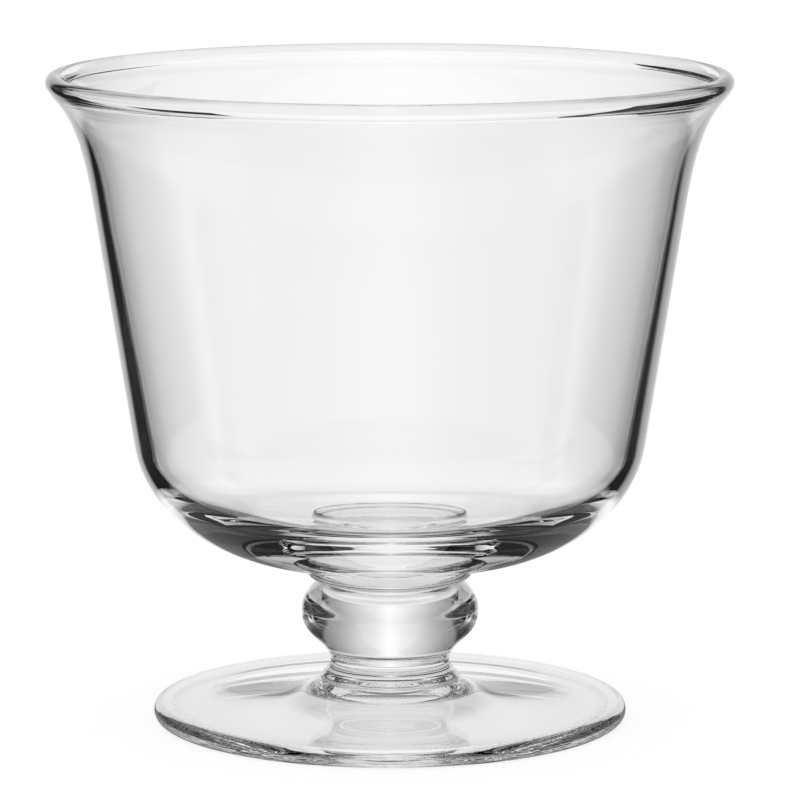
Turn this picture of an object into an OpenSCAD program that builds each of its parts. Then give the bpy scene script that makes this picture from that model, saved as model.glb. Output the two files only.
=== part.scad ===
// Footed trifle bowl in clear glass: flared bowl, wafer, knop, collar and foot.
// Lengths are in millimetres. Z is the turning axis and the foot stands on Z = 0.

/* [Overall] */
// Full height, from the table to the top of the lip
height = 220; // [208:1:240]
// Diameter over the lip
rim_d = 230; // [218:1:250]
// Diameter over the foot
foot_d = 160.5; // [130:0.5:190]

/* [Bowl outside] */
// Diameter at the top of the straight wall, where the flare starts
wall_top_d = 199; // [188:0.5:208]
// Height of the top of the straight wall, as a share of the bowl's height
wall_top_share = 0.7388; // [0.65:0.0002:0.8]
// Diameter at the bottom of the straight wall, where the shoulder starts
wall_low_d = 172.5; // [160:0.5:184]
// Height of the bottom of the straight wall, as a share of the bowl's height
wall_low_share = 0.2376; // [0.2:0.0002:0.33]
// Diameter of the nearly flat underside
under_d = 90; // [70:1:110]
// Rise of the underside from the wafer out to its edge
under_rise = 1.2; // [0.4:0.1:4]
// Angle of the flare from upright just under the lip, in degrees
flare_angle = 30; // [18:1:45]

/* [Bowl glass] */
// Thickness of the rounded bead along the lip
lip_t = 6; // [4.6:0.1:7]
// Angle by which the bead's rounding runs on inside, past the line of the flare, in degrees
bead_turn = 60; // [30:1:75]
// Wall thickness at the top of the straight wall
wall_top_t = 3.6; // [2.4:0.1:5]
// Wall thickness at the bottom of the straight wall
wall_low_t = 5; // [3:0.1:7]
// Thickness of the floor over the wafer
floor_t = 12; // [7:0.5:18]
// Diameter of the flat middle of the floor
floor_d = 60; // [20:1:80]

/* [Wafer] */
// Height of the wafer between the bowl and the knop
wafer_h = 8; // [6:0.25:12]
// Diameter over the rounded edge of the wafer
wafer_d = 55.8; // [54:0.2:62]
// Diameter of the joint between the wafer and the bowl
wafer_joint_d = 53; // [48:0.2:54]

/* [Knop] */
// Height of the knop between its two joints
knop_h = 24.4; // [20:0.1:28]
// Diameter over the knop
knop_d = 60; // [54:0.5:68]
// Diameter of the joint between the knop and the wafer
knop_top_d = 46.8; // [42:0.2:50]
// Diameter of the joint between the knop and the collar
knop_low_d = 42.2; // [40:0.2:46]

/* [Collar] */
// Height of the collar between the knop and the foot
collar_h = 9.7; // [8:0.1:14]
// Diameter of the neck of the collar
collar_neck_d = 40.4; // [36:0.2:42]
// Diameter over the rounded skirt of the collar
collar_d = 47.4; // [47.2:0.2:54]
// Diameter of the joint between the collar and the foot
collar_joint_d = 46.8; // [43:0.2:47]

/* [Foot] */
// Height of the foot at the collar
foot_h = 13.3; // [12:0.1:18]
// Thickness of the rounded edge of the foot
foot_edge_t = 6.2; // [4:0.1:7]
// Width of the flat ring that the foot stands on
foot_ring_w = 3; // [2:0.5:14]
// Depth of the hollow under the foot
foot_hollow = 10.3; // [4:0.1:10.8]

/* [Curves] */
// Pull of the bowl's shoulder from its underside, as a share of its run
shoulder_low_share = 0.24; // [0.1:0.01:0.5]
// Pull of the bowl's shoulder from its wall, as a share of its rise
shoulder_top_share = 0.68; // [0.4:0.01:0.8]
// Pull of the inside corner from the floor, as a share of its run
corner_low_share = 0.55; // [0.3:0.01:0.7]
// Pull of the inside corner from the wall, as a share of its rise
corner_top_share = 0.72; // [0.3:0.01:0.85]
// Pull of the flare from the straight wall, as a share of its rise
flare_low_share = 0.73; // [0.4:0.01:0.8]
// Pull of the flare from the lip, as a share of its rise
flare_top_share = 0.18; // [0.1:0.01:0.4]
// Pull of the flare's inside from the bead, as a share of its rise
bead_share = 0.04; // [0.02:0.005:0.08]
// Height of the widest part of the wafer, as a share of its height
wafer_wide_share = 0.34; // [0.25:0.01:0.6]
// Height of the widest part of the knop, as a share of its height
knop_wide_share = 0.59; // [0.45:0.01:0.7]
// Height of the neck of the collar, as a share of its height
collar_neck_share = 0.68; // [0.55:0.01:0.8]
// Height of the widest part of the collar's skirt, as a share of its height
collar_wide_share = 0.08; // [0.05:0.01:0.3]
// Pull of the foot's top from the collar, as a share of its pull from the edge
foot_rise_share = 0.55; // [0.4:0.01:0.7]
// Pull of the hollow under the foot from its middle, as a share of its radius
hollow_top_share = 0.6; // [0.2:0.01:0.7]
// Pull of the hollow under the foot from its edge, as a share of its radius
hollow_low_share = 0.25; // [0.2:0.01:0.5]
// Height of that pull, as a share of the hollow's depth
hollow_rise_share = 0.2; // [0.1:0.01:0.4]

/* [Hidden] */
// Steps along each curve and around each turning
curve_steps = 18;
$fn = 144;

// Half and quarter pulls for the short curves of the stem and the foot
half_share = 0.5;
quarter_share = 0.25;
tenth_share = 0.1;

// Angles at which the curves of the stem and the foot leave their joints
knop_top_angle = 22;
knop_low_angle = 65;
wafer_low_angle = 18;
foot_rise_angle = 32;
foot_edge_angle = 4;

// Heights of the joints, from the table up
collar_z = foot_h;
knop_z = collar_z + collar_h;
wafer_z = knop_z + knop_h;
bowl_z = wafer_z + wafer_h;

// Radii of the joints, each shared by the two pieces that meet there
foot_joint_r = collar_joint_d / 2;
neck_joint_r = knop_low_d / 2;
waist_joint_r = knop_top_d / 2;
bowl_joint_r = wafer_joint_d / 2;

// Bowl, outside
bowl_h = height - bowl_z;
wall_top_z = bowl_z + wall_top_share * bowl_h;
wall_low_z = bowl_z + wall_low_share * bowl_h;
lip_r = lip_t / 2;
lip_at = [rim_d / 2 - lip_r, height - lip_r];
wall_top_r = wall_top_d / 2;
wall_low_r = wall_low_d / 2;
wall_angle = atan2(wall_top_r - wall_low_r, wall_top_z - wall_low_z);
wall_way = [sin(wall_angle), cos(wall_angle)];
flare_way = [sin(flare_angle), cos(flare_angle)];
flare_rise = height - wall_top_z;
under_at = [under_d / 2, bowl_z + under_rise];
under_angle = atan2(under_rise, under_at[0] - bowl_joint_r);
under_way = [cos(under_angle), sin(under_angle)];
shoulder_run = wall_low_r - under_at[0];
shoulder_rise = wall_low_z - under_at[1];

// Bowl, inside
floor_z = bowl_z + floor_t;
floor_r = floor_d / 2;
inner_top_r = wall_top_r - wall_top_t / cos(wall_angle);
inner_low_r = wall_low_r - wall_low_t / cos(wall_angle);
inner_angle = atan2(inner_top_r - inner_low_r, wall_top_z - wall_low_z);
inner_way = [sin(inner_angle), cos(inner_angle)];
corner_run = inner_low_r - floor_r;
corner_rise = wall_low_z - floor_z;

// Foot
foot_r = foot_d / 2;
foot_edge_r = foot_edge_t / 2;
foot_edge_at = [foot_r - foot_edge_r, foot_edge_r];
ring_in_r = foot_edge_at[0] - foot_ring_w;
foot_run = foot_edge_at[0] - foot_joint_r;

// A point of the curve from a to d, pulled towards b and then c
function curve_at(a, b, c, d, t) =
    pow(1 - t, 3) * a + 3 * t * pow(1 - t, 2) * b + 3 * t * t * (1 - t) * c + t * t * t * d;

// The curve's points, without its first one
function curve(a, b, c, d) =
    [for (i = [1 : curve_steps]) curve_at(a, b, c, d, i / curve_steps)];

// Points of a round edge of radius r about a centre, without the first one
function round_edge(at, r, from, to) =
    [for (i = [1 : curve_steps])
        let (a = from + (to - from) * i / curve_steps)
        at + r * [cos(a), sin(a)]];

// Half outlines, each from the axis at the bottom round to the axis at the top
function bowl_outline() =
    let (wall_low = [wall_low_r, wall_low_z])
    let (wall_top = [wall_top_r, wall_top_z])
    let (inner_low = [inner_low_r, wall_low_z])
    let (inner_top = [inner_top_r, wall_top_z])
    let (floor_edge = [floor_r, floor_z])
    let (lip_out = lip_at + lip_r * [cos(flare_angle), -sin(flare_angle)])
    let (bead_angle = 180 - flare_angle + bead_turn)
    let (lip_in = lip_at + lip_r * [cos(bead_angle), sin(bead_angle)])
    let (bead_way = [-sin(bead_angle), cos(bead_angle)])
    let (flare_low = flare_low_share * flare_rise)
    let (flare_top = flare_top_share * flare_rise)
    concat(
        [[0, bowl_z], [bowl_joint_r, bowl_z], under_at],
        curve(under_at,
            under_at + shoulder_low_share * shoulder_run * under_way,
            wall_low - shoulder_top_share * shoulder_rise * wall_way,
            wall_low),
        [wall_top],
        curve(wall_top,
            wall_top + flare_low * wall_way,
            lip_out - flare_top * flare_way,
            lip_out),
        round_edge(lip_at, lip_r, -flare_angle, bead_angle),
        curve(lip_in,
            lip_in + bead_share * flare_rise * bead_way,
            inner_top + flare_low * inner_way,
            inner_top),
        [inner_low],
        curve(inner_low,
            inner_low - corner_top_share * corner_rise * inner_way,
            floor_edge + [corner_low_share * corner_run, 0],
            floor_edge),
        [[0, floor_z]]);

function wafer_outline() =
    let (low = [waist_joint_r, wafer_z])
    let (wide = [wafer_d / 2, wafer_z + wafer_wide_share * wafer_h])
    let (top = [bowl_joint_r, bowl_z])
    let (low_run = wide[0] - low[0])
    let (low_rise = wide[1] - low[1])
    let (top_rise = top[1] - wide[1])
    concat(
        [[0, wafer_z], low],
        curve(low,
            low + half_share * low_run * [cos(wafer_low_angle), sin(wafer_low_angle)],
            wide - [0, half_share * low_rise],
            wide),
        curve(wide,
            wide + [0, half_share * top_rise],
            top - [0, quarter_share * top_rise],
            top),
        [[0, bowl_z]]);

function knop_outline() =
    let (low = [neck_joint_r, knop_z])
    let (wide = [knop_d / 2, knop_z + knop_wide_share * knop_h])
    let (top = [waist_joint_r, wafer_z])
    let (low_rise = wide[1] - low[1])
    let (top_rise = top[1] - wide[1])
    let (top_run = wide[0] - top[0])
    concat(
        [[0, knop_z], low],
        curve(low,
            low + (half_share - tenth_share) * low_rise * [cos(knop_low_angle), sin(knop_low_angle)],
            wide - [0, (half_share + tenth_share) * low_rise],
            wide),
        curve(wide,
            wide + [0, half_share * top_rise],
            top + half_share * top_run * [cos(knop_top_angle), -sin(knop_top_angle)],
            top),
        [[0, wafer_z]]);

function collar_outline() =
    let (low = [foot_joint_r, collar_z])
    let (wide = [collar_d / 2, collar_z + collar_wide_share * collar_h])
    let (neck = [collar_neck_d / 2, collar_z + collar_neck_share * collar_h])
    let (top = [neck_joint_r, knop_z])
    let (low_rise = wide[1] - low[1])
    let (skirt_rise = neck[1] - wide[1])
    let (neck_rise = top[1] - neck[1])
    let (neck_pull = half_share * neck_rise * [cos(knop_low_angle), sin(knop_low_angle)])
    concat(
        [[0, collar_z], low],
        curve(low,
            low + [half_share * (wide[0] - low[0]), quarter_share * low_rise],
            wide - [0, half_share * low_rise],
            wide),
        curve(wide,
            wide + [0, quarter_share * skirt_rise],
            neck - [0, half_share * skirt_rise],
            neck),
        curve(neck,
            neck + [0, half_share * neck_rise],
            top - neck_pull,
            top),
        [[0, knop_z]]);

function foot_outline() =
    let (hollow = [0, foot_hollow])
    let (ring_in = [ring_in_r, 0])
    let (edge_low = [foot_edge_at[0], 0])
    let (edge_top = foot_edge_at + foot_edge_r * [sin(foot_edge_angle), cos(foot_edge_angle)])
    let (joint = [foot_joint_r, foot_h])
    let (pull = half_share * foot_run)
    concat(
        [hollow],
        curve(hollow,
            hollow + [hollow_top_share * ring_in_r, 0],
            [hollow_low_share * ring_in_r, hollow_rise_share * foot_hollow],
            ring_in),
        [edge_low],
        round_edge(foot_edge_at, foot_edge_r, -90, 90 - foot_edge_angle),
        curve(edge_top,
            edge_top + pull * [-cos(foot_edge_angle), sin(foot_edge_angle)],
            joint + foot_rise_share * pull * [cos(foot_rise_angle), -sin(foot_rise_angle)],
            joint),
        [[0, foot_h]]);

module bowl() {
    color([0.93, 0.95, 0.95, 0.35])
        rotate_extrude()
            polygon(bowl_outline());
}

module wafer() {
    color([0.90, 0.94, 0.94, 0.35])
        rotate_extrude()
            polygon(wafer_outline());
}

module knop() {
    color([0.88, 0.93, 0.93, 0.35])
        rotate_extrude()
            polygon(knop_outline());
}

module collar() {
    color([0.90, 0.94, 0.94, 0.35])
        rotate_extrude()
            polygon(collar_outline());
}

module foot() {
    color([0.92, 0.95, 0.95, 0.35])
        rotate_extrude()
            polygon(foot_outline());
}

bowl();
wafer();
knop();
collar();
foot();
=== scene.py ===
"""Footed trifle bowl in clear hand-blown glass, on a white studio floor."""
import math

import bpy
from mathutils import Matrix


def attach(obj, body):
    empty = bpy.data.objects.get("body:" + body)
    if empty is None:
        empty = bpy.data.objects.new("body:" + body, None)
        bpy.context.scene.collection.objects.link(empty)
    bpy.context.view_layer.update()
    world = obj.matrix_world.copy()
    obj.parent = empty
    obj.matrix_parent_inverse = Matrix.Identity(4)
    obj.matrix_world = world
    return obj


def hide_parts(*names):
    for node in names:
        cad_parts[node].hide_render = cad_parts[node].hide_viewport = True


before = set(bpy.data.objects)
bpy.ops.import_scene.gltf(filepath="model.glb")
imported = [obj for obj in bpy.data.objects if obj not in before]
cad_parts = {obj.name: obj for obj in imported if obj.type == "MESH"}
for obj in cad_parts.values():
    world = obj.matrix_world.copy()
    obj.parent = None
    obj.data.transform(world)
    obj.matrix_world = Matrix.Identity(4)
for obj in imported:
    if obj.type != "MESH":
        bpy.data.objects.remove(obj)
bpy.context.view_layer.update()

MM = 0.001

# Sizes of the part, as its solids have them
HEIGHT = 220 * MM
RIM_R = 115 * MM
FOOT_R = 80.25 * MM
WALL_TOP = (99.5 * MM, 177 * MM)
WALL_LOW = (86.25 * MM, 94.5 * MM)
UNDER_R = 45 * MM
UNDER_RISE = 1.2 * MM
FLARE_ANGLE = math.radians(30)
LIP_R = 3 * MM
BEAD_TURN = math.radians(60)
BEAD_PULL = 1.72 * MM
WALL_TOP_T = 3.6 * MM
WALL_LOW_T = 5 * MM
FLOOR_T = 12 * MM
FLOOR_R = 30 * MM
WAFER_H = 8 * MM
WAFER_R = 27.9 * MM
WAFER_JOINT_R = 26.5 * MM
KNOP_H = 24.4 * MM
KNOP_R = 30 * MM
KNOP_TOP_R = 23.4 * MM
KNOP_LOW_R = 21.1 * MM
COLLAR_H = 9.7 * MM
COLLAR_NECK_R = 20.2 * MM
COLLAR_R = 23.7 * MM
COLLAR_JOINT_R = 23.4 * MM
FOOT_H = 13.3 * MM
FOOT_EDGE_R = 3.1 * MM
FOOT_RING_W = 3 * MM
FOOT_HOLLOW = 10.3 * MM

# Shares of a curve's run or rise by which its ends pull it
SHOULDER_LOW_PULL = 0.24
SHOULDER_TOP_PULL = 0.68
FLARE_LOW_PULL = 0.73
FLARE_TOP_PULL = 0.18
CORNER_TOP_PULL = 0.72
CORNER_LOW_PULL = 0.55
KNOP_LOW_PULL = 0.4
KNOP_WIDE_PULL = 0.6
FOOT_RISE_PULL = 0.55
HOLLOW_TOP_PULL = 0.6
HOLLOW_LOW_PULL = 0.25
HOLLOW_RISE = 0.2
HALF_PULL = 0.5
SLACK_PULL = 0.25

# Heights of the widest and narrowest places, as shares of a piece's height
WAFER_WIDE_SHARE = 0.34
KNOP_WIDE_SHARE = 0.59
COLLAR_WIDE_SHARE = 0.08
COLLAR_NECK_SHARE = 0.68

# Angles above or below level at which the outlines leave the welds and the foot's edge
WAFER_LOW_ANGLE = math.radians(18)
KNOP_TOP_ANGLE = math.radians(22)
KNOP_LOW_ANGLE = math.radians(65)
FOOT_RISE_ANGLE = math.radians(32)
FOOT_EDGE_ANGLE = math.radians(4)

# Heights of the welds between the pieces
COLLAR_Z = FOOT_H
KNOP_Z = COLLAR_Z + COLLAR_H
WAFER_Z = KNOP_Z + KNOP_H
BOWL_Z = WAFER_Z + WAFER_H

# Dark cards behind the bowl: name, left, right, low and high edge
SCREEN_BACK = 200 * MM
RIM_SCREENS = (
    ("right_screen", 96 * MM, 330 * MM, 231 * MM, 430 * MM),
    ("left_screen", -330 * MM, -136 * MM, 231 * MM, 300 * MM),
    ("left_strip", -112 * MM, -72 * MM, 268 * MM, 335 * MM))

# How finely the pieces are turned, and how close points and faces count as the same
TURN_STEPS = 192
BEND_STEPS = 30
MERGE_GAP = 0.001 * MM
SMOOTH_ANGLE = math.radians(50)
FLAT_FACE = 0.99
WELD_GAP = 0.01 * MM

# Looks of the glass
GLASS_COLOUR = (0.99, 0.99, 0.99, 1)
GLASS_IOR = 1.5
RIPPLE_SCALE = 13.0
RIPPLE_DEPTH = 0.25 * MM
MARKS_AROUND = 45
MARKS_UP = 1400
MARKS_DEPTH = 0.06 * MM
SCRATCH_SCALE = 900.0
WORN_ROUGHNESS = 0.35

# Levels of the floor: plain, folded by more glass, and what darkens it. The levels of the glow
# that the glass shows are painted shade
STUDIO_R = 6
FLOOR_LEVEL = 0.75
FOLDED_EXTRA = 0.18
DEEP_PAINTED_SHADE = 0.75
MIRROR_PAINTED_SHADE = 0.6
SCREEN_PAINTED_SHADE = 0.93
FLOOR_GLOW = 1.06
GLOW_SHARE = 0.75
FLOOR_CARD_R = 160 * MM
STEM_CLEAR_R = 55 * MM
SCREEN_SHADE_SLOPE = 0.62

# The camera, from the rim and foot ellipses
FOCAL_PIXELS = 4926
IMAGE_PIXELS = 800
SENSOR_WIDTH = 36
CAMERA_PLACE = (3.4 * MM, -1642 * MM, 370.7 * MM)
CAMERA_DIP = 9.058


def along(point, way, length):
    """The point that lies a length from another, along a direction."""
    return (point[0] + way[0] * length, point[1] + way[1] * length)


def bend(a, b, c, d):
    """Points of the curve from a to d, pulled by b and c, without the first."""
    points = []
    for i in range(1, BEND_STEPS + 1):
        t = i / BEND_STEPS
        s = 1 - t
        shares = (s ** 3, 3 * t * s * s, 3 * t * t * s, t ** 3)
        points.append(tuple(
            sum(k * p[axis] for k, p in zip(shares, (a, b, c, d))) for axis in (0, 1)))
    return points


def round_edge(centre, radius, start, stop):
    """Points of an arc about a centre, without the first."""
    points = []
    for i in range(1, BEND_STEPS + 1):
        angle = start + (stop - start) * i / BEND_STEPS
        points.append(along(centre, level_way(angle), radius))
    return points


def lean(angle):
    """The upward direction that leans out from upright by an angle."""
    return (math.sin(angle), math.cos(angle))


def level_way(angle):
    """The outward direction that rises above level by an angle."""
    return (math.cos(angle), math.sin(angle))


def bowl_outline():
    wall_angle = math.atan2(WALL_TOP[0] - WALL_LOW[0], WALL_TOP[1] - WALL_LOW[1])
    wall_way = lean(wall_angle)
    under = (UNDER_R, BOWL_Z + UNDER_RISE)
    under_angle = math.atan2(UNDER_RISE, UNDER_R - WAFER_JOINT_R)
    under_way = level_way(under_angle)
    inner_top = (WALL_TOP[0] - WALL_TOP_T / math.cos(wall_angle), WALL_TOP[1])
    inner_low = (WALL_LOW[0] - WALL_LOW_T / math.cos(wall_angle), WALL_LOW[1])
    inner_way = lean(math.atan2(inner_top[0] - inner_low[0], inner_top[1] - inner_low[1]))
    floor_edge = (FLOOR_R, BOWL_Z + FLOOR_T)
    lip = (RIM_R - LIP_R, HEIGHT - LIP_R)
    lip_way = level_way(-FLARE_ANGLE)
    lip_out = along(lip, lip_way, LIP_R)
    bead_angle = math.pi - FLARE_ANGLE + BEAD_TURN
    lip_in = along(lip, level_way(bead_angle), LIP_R)
    bead_way = (-math.sin(bead_angle), math.cos(bead_angle))
    flare_way = lean(FLARE_ANGLE)
    rise = HEIGHT - WALL_TOP[1]
    shoulder_run, shoulder_rise = WALL_LOW[0] - UNDER_R, WALL_LOW[1] - under[1]
    corner_run, corner_rise = inner_low[0] - FLOOR_R, inner_low[1] - floor_edge[1]
    return (
        [(0, BOWL_Z), (WAFER_JOINT_R, BOWL_Z), under]
        + bend(under, along(under, under_way, SHOULDER_LOW_PULL * shoulder_run),
               along(WALL_LOW, wall_way, -SHOULDER_TOP_PULL * shoulder_rise), WALL_LOW)
        + [WALL_TOP]
        + bend(WALL_TOP, along(WALL_TOP, wall_way, FLARE_LOW_PULL * rise),
               along(lip_out, flare_way, -FLARE_TOP_PULL * rise), lip_out)
        + round_edge(lip, LIP_R, -FLARE_ANGLE, bead_angle)
        + bend(lip_in, along(lip_in, bead_way, BEAD_PULL),
               along(inner_top, inner_way, FLARE_LOW_PULL * rise), inner_top)
        + [inner_low]
        + bend(inner_low, along(inner_low, inner_way, -CORNER_TOP_PULL * corner_rise),
               along(floor_edge, (1, 0), CORNER_LOW_PULL * corner_run), floor_edge)
        + [(0, floor_edge[1])])


def wafer_outline():
    low = (KNOP_TOP_R, WAFER_Z)
    wide = (WAFER_R, WAFER_Z + WAFER_WIDE_SHARE * WAFER_H)
    top = (WAFER_JOINT_R, BOWL_Z)
    low_way = level_way(WAFER_LOW_ANGLE)
    return (
        [(0, WAFER_Z), low]
        + bend(low, along(low, low_way, HALF_PULL * (wide[0] - low[0])),
               along(wide, (0, -1), HALF_PULL * (wide[1] - low[1])), wide)
        + bend(wide, along(wide, (0, 1), HALF_PULL * (top[1] - wide[1])),
               along(top, (0, -1), SLACK_PULL * (top[1] - wide[1])), top)
        + [(0, BOWL_Z)])


def knop_outline():
    low = (KNOP_LOW_R, KNOP_Z)
    wide = (KNOP_R, KNOP_Z + KNOP_WIDE_SHARE * KNOP_H)
    top = (KNOP_TOP_R, WAFER_Z)
    low_way = level_way(KNOP_LOW_ANGLE)
    top_way = level_way(-KNOP_TOP_ANGLE)
    return (
        [(0, KNOP_Z), low]
        + bend(low, along(low, low_way, KNOP_LOW_PULL * (wide[1] - low[1])),
               along(wide, (0, -1), KNOP_WIDE_PULL * (wide[1] - low[1])), wide)
        + bend(wide, along(wide, (0, 1), HALF_PULL * (top[1] - wide[1])),
               along(top, top_way, HALF_PULL * (wide[0] - top[0])), top)
        + [(0, WAFER_Z)])


def collar_outline():
    low = (COLLAR_JOINT_R, COLLAR_Z)
    wide = (COLLAR_R, COLLAR_Z + COLLAR_WIDE_SHARE * COLLAR_H)
    neck = (COLLAR_NECK_R, COLLAR_Z + COLLAR_NECK_SHARE * COLLAR_H)
    top = (KNOP_LOW_R, KNOP_Z)
    low_rise = wide[1] - low[1]
    top_way = (-math.cos(KNOP_LOW_ANGLE), -math.sin(KNOP_LOW_ANGLE))
    return (
        [(0, COLLAR_Z), low]
        + bend(low, (low[0] + HALF_PULL * (wide[0] - low[0]), low[1] + SLACK_PULL * low_rise),
               along(wide, (0, -1), HALF_PULL * low_rise), wide)
        + bend(wide, along(wide, (0, 1), SLACK_PULL * (neck[1] - wide[1])),
               along(neck, (0, -1), HALF_PULL * (neck[1] - wide[1])), neck)
        + bend(neck, along(neck, (0, 1), HALF_PULL * (top[1] - neck[1])),
               along(top, top_way, HALF_PULL * (top[1] - neck[1])), top)
        + [(0, KNOP_Z)])


def foot_outline():
    edge = (FOOT_R - FOOT_EDGE_R, FOOT_EDGE_R)
    hollow = (0, FOOT_HOLLOW)
    ring_in = (edge[0] - FOOT_RING_W, 0)
    rise_way = level_way(-FOOT_RISE_ANGLE)
    edge_way = (-math.cos(FOOT_EDGE_ANGLE), math.sin(FOOT_EDGE_ANGLE))
    edge_top = along(edge, lean(FOOT_EDGE_ANGLE), FOOT_EDGE_R)
    joint = (COLLAR_JOINT_R, FOOT_H)
    pull = HALF_PULL * (edge[0] - COLLAR_JOINT_R)
    return (
        [hollow]
        + bend(hollow, (HOLLOW_TOP_PULL * ring_in[0], FOOT_HOLLOW),
               (HOLLOW_LOW_PULL * ring_in[0], HOLLOW_RISE * FOOT_HOLLOW), ring_in)
        + [(edge[0], 0)]
        + round_edge(edge, FOOT_EDGE_R, -math.pi / 2, math.pi / 2 - FOOT_EDGE_ANGLE)
        + bend(edge_top, along(edge_top, edge_way, pull),
               along(joint, rise_way, FOOT_RISE_PULL * pull), joint)
        + [(0, FOOT_H)])


def turn_piece(name, outline):
    """Draw half an outline vertex by vertex and spin it into a closed solid."""
    bpy.ops.object.select_all(action="DESELECT")
    bpy.ops.mesh.primitive_plane_add(size=MM)
    piece = bpy.context.object
    piece.name = piece.data.name = name
    bpy.ops.object.mode_set(mode="EDIT")
    bpy.ops.mesh.select_all(action="SELECT")
    bpy.ops.mesh.merge(type="CENTER")
    here = outline[0]
    bpy.ops.transform.translate(value=(here[0], 0, here[1]))
    for point in outline[1:]:
        bpy.ops.mesh.extrude_vertices_move(TRANSFORM_OT_translate={
            "value": (point[0] - here[0], 0, point[1] - here[1])})
        here = point
    bpy.ops.mesh.select_all(action="SELECT")
    bpy.ops.mesh.spin(steps=TURN_STEPS, angle=2 * math.pi, center=(0, 0, 0), axis=(0, 0, 1))
    bpy.ops.mesh.select_all(action="SELECT")
    bpy.ops.mesh.remove_doubles(threshold=MERGE_GAP)
    bpy.ops.mesh.normals_make_consistent(inside=False)
    bpy.ops.object.mode_set(mode="OBJECT")
    bpy.ops.object.shade_smooth_by_angle(angle=SMOOTH_ANGLE)
    return piece


class Value:
    """A socket of a node tree that can be used in sums."""

    def __init__(self, tree, socket):
        self.tree = tree
        self.socket = socket

    def math(self, operation, *others):
        node = self.tree.nodes.new("ShaderNodeMath")
        node.operation = operation
        for socket, value in zip(node.inputs, (self,) + others):
            fill(self.tree, socket, value)
        return Value(self.tree, node.outputs[0])

    def __add__(self, other):
        return self.math("ADD", other)

    __radd__ = __add__

    def __sub__(self, other):
        return self.math("SUBTRACT", other)

    def __rsub__(self, other):
        return Value.of(self.tree, other).math("SUBTRACT", self)

    def __mul__(self, other):
        return self.math("MULTIPLY", other)

    __rmul__ = __mul__

    @staticmethod
    def of(tree, number):
        node = tree.nodes.new("ShaderNodeValue")
        node.outputs[0].default_value = number
        return Value(tree, node.outputs[0])


def fill(tree, socket, value):
    """Put a number, a colour or a link into a socket."""
    if isinstance(value, Value):
        tree.links.new(value.socket, socket)
    else:
        socket.default_value = value


def grey(level):
    return (level, level, level, 1)


def add_node(tree, kind, settings=None, sockets=None, out=0):
    """Add one node, set it up, feed its sockets and give back an output."""
    node = tree.nodes.new(kind)
    for key, value in (settings or {}).items():
        if key == "stops":
            ramp = node.color_ramp.elements
            while len(ramp) > 1:
                ramp.remove(ramp[-1])
            for i, (place, level) in enumerate(value):
                stop = ramp[0] if i == 0 else ramp.new(place)
                stop.position = place
                stop.color = grey(level)
        else:
            setattr(node, key, value)
    for key, value in (sockets or {}).items():
        fill(tree, node.inputs[key], value)
    return Value(tree, node.outputs[out])


def clear_glass():
    """Clear glass with the slight ripple of blowing, tool marks and wear under the foot."""
    material = bpy.data.materials.new("clear_glass")
    material.use_nodes = True
    tree = material.node_tree
    shader = tree.nodes["Principled BSDF"]
    place = add_node(tree, "ShaderNodeTexCoord", out=3)
    split = tree.nodes.new("ShaderNodeSeparateXYZ")
    tree.links.new(place.socket, split.inputs[0])
    x, y, z = (Value(tree, s) for s in split.outputs)
    radius = (x * x + y * y).math("SQRT")

    def fade(value, start, stop):
        return add_node(tree, "ShaderNodeMapRange", {"interpolation_type": "SMOOTHSTEP"}, {
            "Value": value, "From Min": start, "From Max": stop, "To Min": 0.0, "To Max": 1.0})

    # Slow ripple from blowing, which thickens and thins the glass
    ripple = add_node(tree, "ShaderNodeTexNoise", sockets={
        "Vector": place, "Scale": RIPPLE_SCALE, "Detail": 0.0})
    bump = add_node(tree, "ShaderNodeBump", sockets={
        "Strength": 1.0, "Distance": RIPPLE_DEPTH, "Height": ripple})
    # Tool marks that run around the edge of the foot
    mark_place = add_node(tree, "ShaderNodeCombineXYZ", sockets={
        0: x * MARKS_AROUND, 1: y * MARKS_AROUND, 2: z * MARKS_UP})
    marks = add_node(tree, "ShaderNodeTexNoise", sockets={
        "Vector": mark_place, "Scale": 1.0, "Detail": 2.0})
    outermost = fade(radius, FOOT_R - 6 * MM, FOOT_R - 3 * MM)
    edge = outermost * fade(z, 2.4 * FOOT_EDGE_R, 1.8 * FOOT_EDGE_R)
    bump = add_node(tree, "ShaderNodeBump", sockets={
        "Strength": 1.0, "Distance": MARKS_DEPTH, "Height": marks * edge, "Normal": bump})
    fill(tree, shader.inputs["Normal"], bump)

    # Fine wear where the foot stands
    scratch = add_node(tree, "ShaderNodeTexNoise", sockets={
        "Vector": place, "Scale": SCRATCH_SCALE, "Detail": 4.0})
    worn = fade(z, 0.6 * MM, 0.1 * MM) * fade(radius, FOOT_R - 12 * MM, FOOT_R - 8 * MM)
    fill(tree, shader.inputs["Roughness"], worn * fade(scratch, 0.4, 0.7) * WORN_ROUGHNESS)

    shader.inputs["Base Color"].default_value = GLASS_COLOUR
    shader.inputs["IOR"].default_value = GLASS_IOR
    shader.inputs["Transmission Weight"].default_value = 1.0
    return material


def fused_joint():
    """The unseen face where two pieces are welded into one body of glass."""
    material = bpy.data.materials.new("fused_joint")
    material.use_nodes = True
    shader = material.node_tree.nodes["Principled BSDF"]
    shader.inputs["Alpha"].default_value = 0.0
    return material


GLASS = clear_glass()
FUSED = fused_joint()


def glass_piece(name, outline, welds):
    piece = turn_piece(name + "_glass", outline)
    piece.data.materials.append(GLASS)
    piece.data.materials.append(FUSED)
    for face in piece.data.polygons:
        if abs(face.normal.z) < FLAT_FACE:
            continue
        if any(abs(face.center.z - z) < WELD_GAP and face.center.xy.length < r for z, r in welds):
            face.material_index = 1
    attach(piece, "root")
    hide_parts(name)


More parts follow.
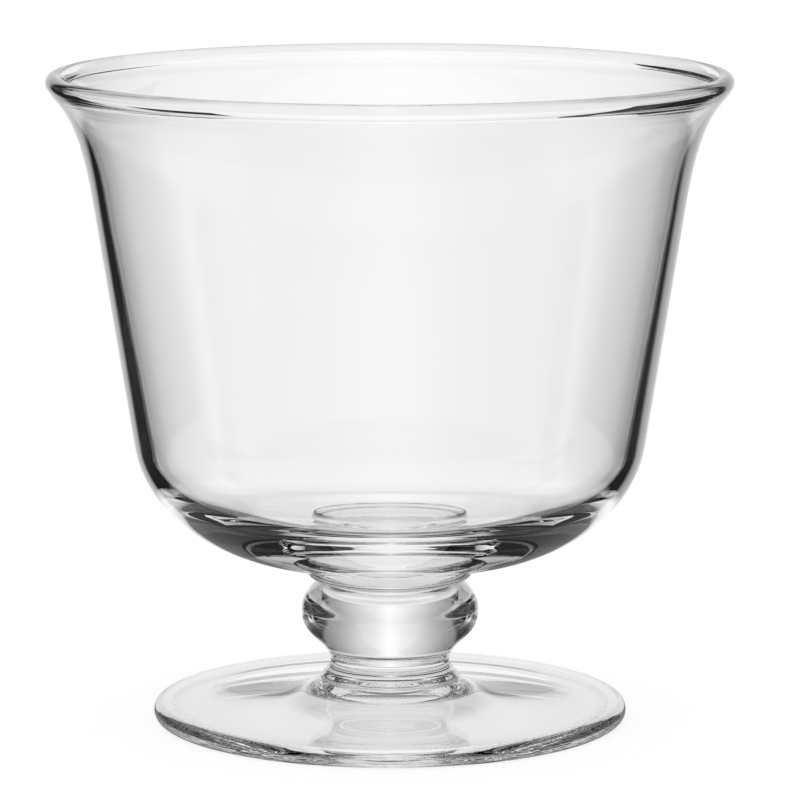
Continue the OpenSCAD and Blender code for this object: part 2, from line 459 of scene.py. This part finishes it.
glass_piece("bowl", bowl_outline(), [(BOWL_Z, WAFER_JOINT_R)])
glass_piece("wafer", wafer_outline(), [(BOWL_Z, WAFER_JOINT_R), (WAFER_Z, KNOP_TOP_R)])
glass_piece("knop", knop_outline(), [(WAFER_Z, KNOP_TOP_R), (KNOP_Z, KNOP_LOW_R)])
glass_piece("collar", collar_outline(), [(KNOP_Z, KNOP_LOW_R), (COLLAR_Z, COLLAR_JOINT_R)])
glass_piece("foot", foot_outline(), [(COLLAR_Z, COLLAR_JOINT_R)])


def quarter_turn(x, y):
    """Where a direction points within its quarter of the circle, with 0.5 for straight on."""
    return (x.math("ARCTAN2", y) * (180 / math.pi) + 405).math("MODULO", 90.0) * (1 / 90)


def studio_floor():
    """A white floor that, seen through and in the glass, glows with painted shade which darkens by
    how many glass faces a path has crossed on its way to it.
    """
    bpy.ops.object.select_all(action="DESELECT")
    bpy.ops.mesh.primitive_circle_add(vertices=128, radius=STUDIO_R, fill_type="NGON")
    floor = bpy.context.object
    floor.name = "studio_floor"
    material = bpy.data.materials.new("floor_white")
    material.use_nodes = True
    tree = material.node_tree
    tree.nodes.clear()
    path = tree.nodes.new("ShaderNodeLightPath")
    seen = Value(tree, path.outputs["Is Camera Ray"])
    place = add_node(tree, "ShaderNodeTexCoord", out=3)
    split = tree.nodes.new("ShaderNodeSeparateXYZ")
    tree.links.new(place.socket, split.inputs[0])
    x, y = (Value(tree, s) for s in split.outputs[:2])
    away = (x * x + y * y).math("SQRT")
    depth = Value(tree, path.outputs["Ray Depth"])
    folded = depth.math("GREATER_THAN", 2.5)
    glossy = Value(tree, path.outputs["Is Glossy Ray"])
    through = Value(tree, path.outputs["Is Transmission Ray"]).math("MAXIMUM", glossy)
    # Reflection paths, which see the floor glow dimmed as a painted darker reflection
    mirror = Value(tree, path.outputs["Is Reflection Ray"]) * glossy
    # Painted shade on the floor beside the bowl on both sides, for paths of three bounces that are
    # not reflections
    beside = (x.math("ABSOLUTE") - SCREEN_SHADE_SLOPE * y.math("ABSOLUTE")).math("GREATER_THAN", 0.0)
    painted_screen_shade = beside * depth.math("COMPARE", 3.0, 0.5) * (1 - mirror)
    far = away.math("GREATER_THAN", FLOOR_CARD_R)
    white = add_node(tree, "ShaderNodeBsdfDiffuse", sockets={"Color": (1, 1, 1, 1)})
    lit = add_node(tree, "ShaderNodeEmission", sockets={
        "Color": (1, 1, 1, 1), "Strength": FLOOR_GLOW})
    # Painted shade for paths of many bounces that land away from the stem
    deep = depth.math("GREATER_THAN", 7.5) * away.math("GREATER_THAN", STEM_CLEAR_R)
    # Painted shade: the floor that the glass shows glows at a set grey level, lighter where a path
    # crossed more faces, and dimmed as below
    level = (FLOOR_LEVEL + FOLDED_EXTRA * folded) * (1 - DEEP_PAINTED_SHADE * deep)
    level = level * (1 - MIRROR_PAINTED_SHADE * mirror) * (1 - SCREEN_PAINTED_SHADE * painted_screen_shade)
    tone = add_node(tree, "ShaderNodeCombineXYZ", sockets={0: level, 1: level, 2: level})
    card = add_node(tree, "ShaderNodeEmission", sockets={"Color": tone, "Strength": 1.0})
    open_air = add_node(tree, "ShaderNodeBsdfTransparent")
    shown = add_node(tree, "ShaderNodeMixShader", sockets={0: seen * GLOW_SHARE, 1: white, 2: lit})
    behind = add_node(tree, "ShaderNodeMixShader", sockets={0: far, 1: card, 2: open_air})
    mix = add_node(tree, "ShaderNodeMixShader", sockets={0: through, 1: shown, 2: behind})
    out = tree.nodes.new("ShaderNodeOutputMaterial")
    tree.links.new(mix.socket, out.inputs["Surface"])
    floor.data.materials.append(material)


def rim_screens():
    """Dark cards behind the bowl and above it, which only the bead of the lip turns into view."""
    material = bpy.data.materials.new("screen_black")
    material.use_nodes = True
    tree = material.node_tree
    tree.nodes.clear()
    path = tree.nodes.new("ShaderNodeLightPath")
    through = Value(tree, path.outputs["Is Transmission Ray"])
    black = add_node(tree, "ShaderNodeEmission", sockets={
        "Color": grey(0.02), "Strength": 1.0})
    open_air = add_node(tree, "ShaderNodeBsdfTransparent")
    mix = add_node(tree, "ShaderNodeMixShader", sockets={0: through, 1: open_air, 2: black})
    out = tree.nodes.new("ShaderNodeOutputMaterial")
    tree.links.new(mix.socket, out.inputs["Surface"])
    for name, left, right, low, high in RIM_SCREENS:
        bpy.ops.object.select_all(action="DESELECT")
        middle = ((left + right) / 2, SCREEN_BACK, (low + high) / 2)
        bpy.ops.mesh.primitive_plane_add(size=1, location=middle, rotation=(math.pi / 2, 0, 0))
        card = bpy.context.object
        card.name = name
        card.scale = (right - left, high - low, 1)
        bpy.ops.object.transform_apply(location=True, rotation=True, scale=True)
        card.data.materials.append(material)


def screens(tree, turn, levels, half=45):
    """Brightness around the studio, by degrees to the left and right of straight on."""
    return add_node(tree, "ShaderNodeValToRGB", {
        "stops": [((angle + half) / (2 * half), level) for angle, level in levels.items()]},
        {"Fac": turn})


def studio_light():
    """A white studio whose dark screens differ by how many glass faces a path has crossed."""
    world = bpy.data.worlds.new("studio")
    bpy.context.scene.world = world
    world.use_nodes = True
    tree = world.node_tree
    tree.nodes.clear()
    way = add_node(tree, "ShaderNodeTexCoord", out=0)
    split = tree.nodes.new("ShaderNodeSeparateXYZ")
    tree.links.new(way.socket, split.inputs[0])
    x, y, z = (Value(tree, s) for s in split.outputs)
    path = tree.nodes.new("ShaderNodeLightPath")
    crossed = Value(tree, path.outputs["Ray Depth"]) - 1
    azimuth = x.math("ARCTAN2", y) * (180 / math.pi)
    swing = quarter_turn(x, y)
    circle = azimuth * (1 / 360) + 0.5
    rise = z.math("ARCSINE") * (180 / math.pi)

    def crossings(count):
        return crossed.math("COMPARE", float(count), 0.5)

    def fade(value, start, stop):
        return add_node(tree, "ShaderNodeMapRange", sockets={
            "Value": value, "From Min": float(start), "From Max": float(stop),
            "To Min": 0.0, "To Max": 1.0})

    def mix(share, first, second):
        return add_node(tree, "ShaderNodeMix", {"data_type": "RGBA"}, {
            "Factor": share, 6: first, 7: second}, out=2)

    # Seen through both walls of the bowl, and by way of one turn inside the glass
    straight = screens(tree, swing, {
        -45: 1.0, -33: 0.9, -31: 0.01, -21.5: 0.02, -19.5: 0.78, -14: 0.86, -8: 0.97, 0: 1.02,
        8: 0.89, 14: 0.76, 19.5: 0.64, 21.5: 0.02, 31: 0.01, 33: 0.9, 45: 1.0})
    turned = screens(tree, swing, {
        -45: 0.01, -8: 0.02, -5: 0.3, 0: 1.0, 5: 0.3, 8: 0.02, 45: 0.01})
    trapped = screens(tree, swing, {
        -45: 0.01, -20: 0.015, -18: 0.38, -14: 0.6, -8: 0.88, 0: 1.0,
        8: 0.88, 14: 0.6, 18: 0.38, 20: 0.015, 45: 0.01})
    # Seen through the solid glass of the stem
    stem = screens(tree, circle, {
        -180: 0.95, -150: 0.6, -135: 0.3, -120: 0.6, -90: 0.95, -70: 0.6, -59: 0.1, -50: 0.03,
        -40: 0.04, -37: 0.26, -28: 0.38, -21: 0.53, -14: 0.72, -7: 0.88, -2: 1.0, 0: 1.04,
        2: 1.0, 7: 0.84, 14: 0.72, 21: 0.53, 28: 0.38, 37: 0.26, 40: 0.04, 50: 0.03, 59: 0.1,
        70: 0.6, 90: 0.95, 120: 0.6, 135: 0.3, 150: 0.6, 180: 0.95}, 180)
    below = screens(tree, swing, {
        -45: 0.25, -37: 0.2, -30: 0.32, -23: 0.5, -13: 0.88, 0: 0.95,
        13: 0.88, 23: 0.5, 30: 0.32, 37: 0.2, 45: 0.25})
    guided = crossed.math("GREATER_THAN", 7.5)
    aside = azimuth.math("ABSOLUTE")
    side_on = fade(aside, 100, 106) * fade(aside, 128, 122)
    turned_back = y.math("LESS_THAN", 0.3) * (crossings(5) + crossings(7))
    odd = crossings(3) + crossings(5) + crossings(7)
    level = mix(odd, straight, turned)
    studio = mix(crossings(2).math("MAXIMUM", fade(rise, 2, 4.5)), level, stem)
    studio = mix(odd * fade(rise, 2, 4.5), studio, grey(0.62))
    studio = mix(fade(rise, 20, 28), studio, grey(0.85))
    studio = mix(side_on * crossings(3), studio, grey(0.42))
    studio = mix(turned_back, studio, grey(0.55))
    studio = mix(guided, studio, trapped)
    studio = mix(fade(rise, -27, -30), studio, below)
    turns = Value(tree, path.outputs["Glossy Depth"])
    studio = mix(turns.math("COMPARE", 2.0, 0.5) * crossings(4), studio, grey(0.05))
    # Looked through from higher up, the thin wall is clear from every side
    clear = turns.math("LESS_THAN", 0.5)
    studio = mix(crossings(2) * clear * fade(rise, -7, -9.5), studio, grey(0.93))
    lifted = straight.math("MAXIMUM", 0.8)
    studio = mix(crossings(4) * clear * fade(rise, -16.5, -18.5), studio, lifted)
    # Mirrored by the outside of the glass, under a dark ceiling
    mirrored = screens(tree, circle, {
        -180: 0.03, -28: 0.03, -23: 1.0, 28: 1.0, 33: 0.03, 180: 0.03}, 180)
    mirrored = mirrored * (1 - 0.95 * fade(rise, 18, 26))
    through = Value(tree, path.outputs["Is Transmission Ray"])
    glossy = Value(tree, path.outputs["Is Glossy Ray"])
    gloss = Value(tree, path.outputs["Is Reflection Ray"]) * glossy
    colour = mix(gloss, mix(through, (1, 1, 1, 1), studio), mirrored)
    background = add_node(tree, "ShaderNodeBackground", sockets={"Color": colour, "Strength": 1.0})
    out = tree.nodes.new("ShaderNodeOutputWorld")
    tree.links.new(background.socket, out.inputs["Surface"])


def photo_camera():
    data = bpy.data.cameras.new("photo_camera")
    data.sensor_width = SENSOR_WIDTH
    data.lens = FOCAL_PIXELS / IMAGE_PIXELS * SENSOR_WIDTH
    data.clip_end = 50
    camera = bpy.data.objects.new("photo_camera", data)
    bpy.context.scene.collection.objects.link(camera)
    camera.location = CAMERA_PLACE
    camera.rotation_euler = (math.radians(90 - CAMERA_DIP), 0, 0)
    bpy.context.scene.camera = camera


studio_floor()
rim_screens()
studio_light()
photo_camera()

scene = bpy.context.scene
scene.view_settings.view_transform = "Standard"
scene.cycles.max_bounces = 32
scene.cycles.transmission_bounces = 32
scene.cycles.glossy_bounces = 16
scene.cycles.transparent_max_bounces = 32
